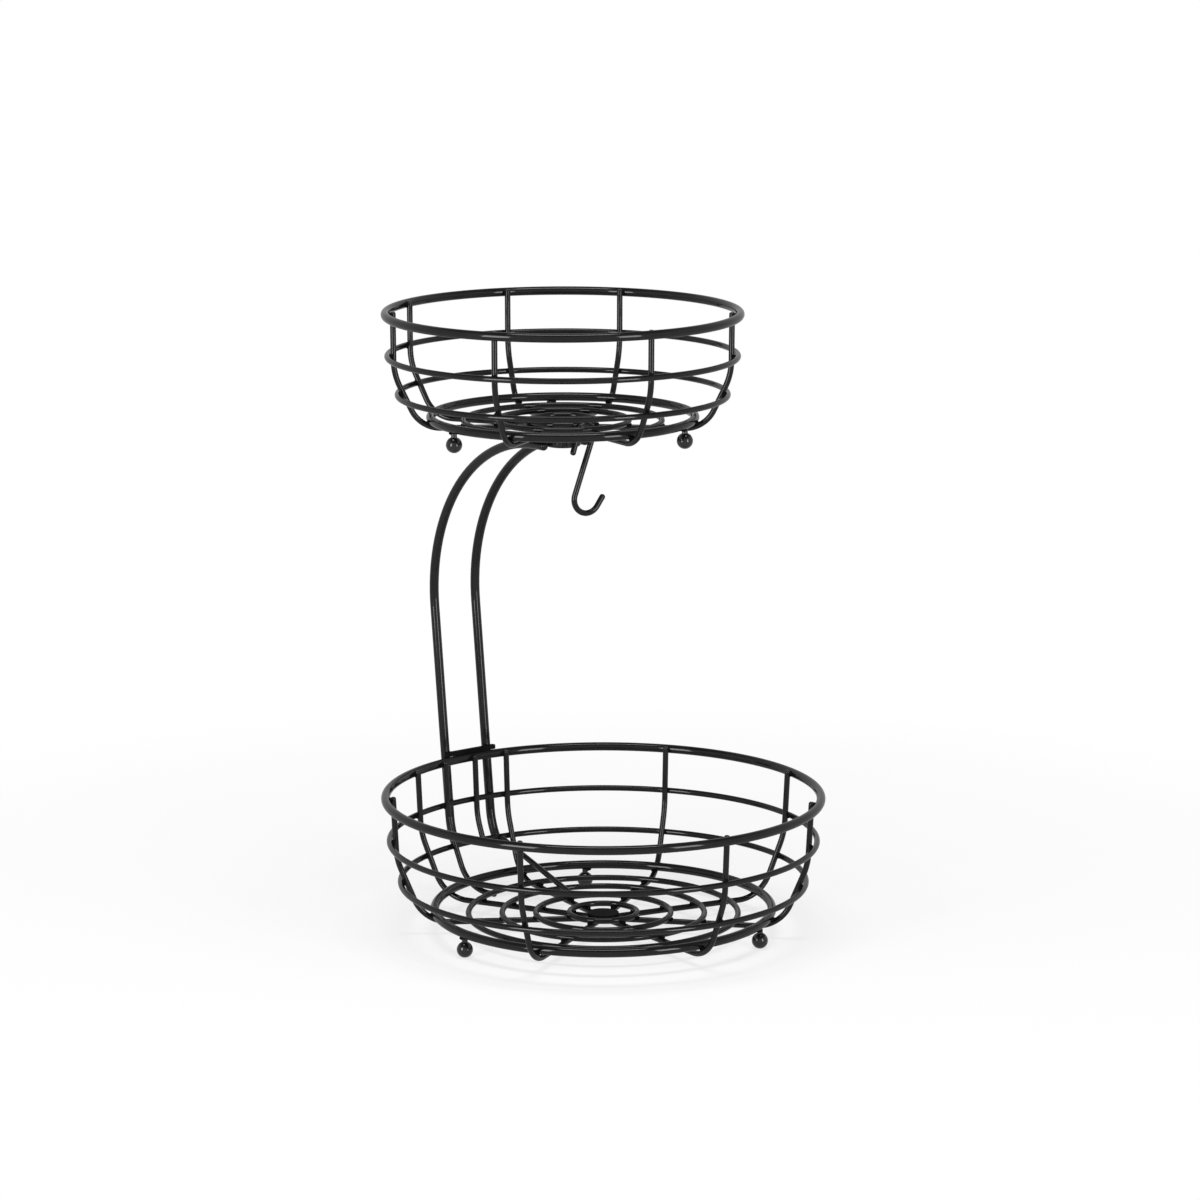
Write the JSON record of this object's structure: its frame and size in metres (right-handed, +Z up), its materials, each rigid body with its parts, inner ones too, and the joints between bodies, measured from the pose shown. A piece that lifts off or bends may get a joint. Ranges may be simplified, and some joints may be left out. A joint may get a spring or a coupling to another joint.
{
  "type": "tiered wire basket",
  "caption": "Two-tier black wire fruit basket: a wide round basket below, a smaller one above on a bent twin-rod post, and a hanging S-hook between them.",
  "frame": {"origin": "on the floor, midway between the front of the lower rim and the back of the post", "axes": "+Z up, +Y towards the post at the back, +X to the right when seen from the front"},
  "size_m": [0.302, 0.3195, 0.4231],
  "materials": {
    "lower_basket": "satin black coating",
    "upper_basket": "satin black coating",
    "post": "satin black coating",
    "feet": "gloss black coating",
    "bolt": "satin black coating",
    "nut": "satin black coating",
    "hook": "satin black coating"
  },
  "bodies": {
    "frame": {"centre_bolt": "bolt", "left_backing_wire": "lower_basket", "left_post_rod": "post", "lower_base_ring": "lower_basket", "lower_centre_disc": "lower_basket", "lower_foot_1": "feet", "lower_foot_2": "feet", "lower_foot_3": "feet", "lower_inner_ring_1": "lower_basket", "lower_inner_ring_2": "lower_basket", "lower_inner_ring_3": "lower_basket", "lower_inner_ring_4": "lower_basket", "lower_lower_hoop": "lower_basket", "lower_rib_1": "lower_basket", "lower_rib_2": "lower_basket", "lower_rib_3": "lower_basket", "lower_rib_4": "lower_basket", "lower_rib_5": "lower_basket", "lower_rib_6": "lower_basket", "lower_rib_7": "lower_basket", "lower_rib_8": "lower_basket", "lower_rim": "lower_basket", "lower_upper_hoop": "lower_basket", "middle_backing_wire": "lower_basket", "mounting_plate": "post", "right_backing_wire": "lower_basket", "right_post_rod": "post", "rim_cross_bar": "post", "upper_base_ring": "upper_basket", "upper_centre_disc": "upper_basket", "upper_foot_1": "feet", "upper_foot_2": "feet", "upper_foot_3": "feet", "upper_inner_ring_1": "upper_basket", "upper_inner_ring_2": "upper_basket", "upper_inner_ring_3": "upper_basket", "upper_lower_hoop": "upper_basket", "upper_rib_1": "upper_basket", "upper_rib_2": "upper_basket", "upper_rib_3": "upper_basket", "upper_rib_4": "upper_basket", "upper_rib_5": "upper_basket", "upper_rib_6": "upper_basket", "upper_rib_7": "upper_basket", "upper_rim": "upper_basket", "upper_upper_hoop": "upper_basket"},
    "nut": {"thumb_nut": "nut"},
    "hook": {"s_hook": "hook"}
  },
  "joints": [
    {"name": "hook_swing", "type": "hinge", "parent": "frame", "child": "hook", "pos_m": [-0.0041, 0.00639, 0.3433], "axis": [-0.144, -0.9896, 0], "range_deg": [-40, 40]},
    {"name": "thumb_nut_spin", "type": "hinge", "parent": "frame", "child": "nut", "pos_m": [0, 0.03459, 0.3325], "axis": [0, 0, 1], "continuous": true}
  ]
}
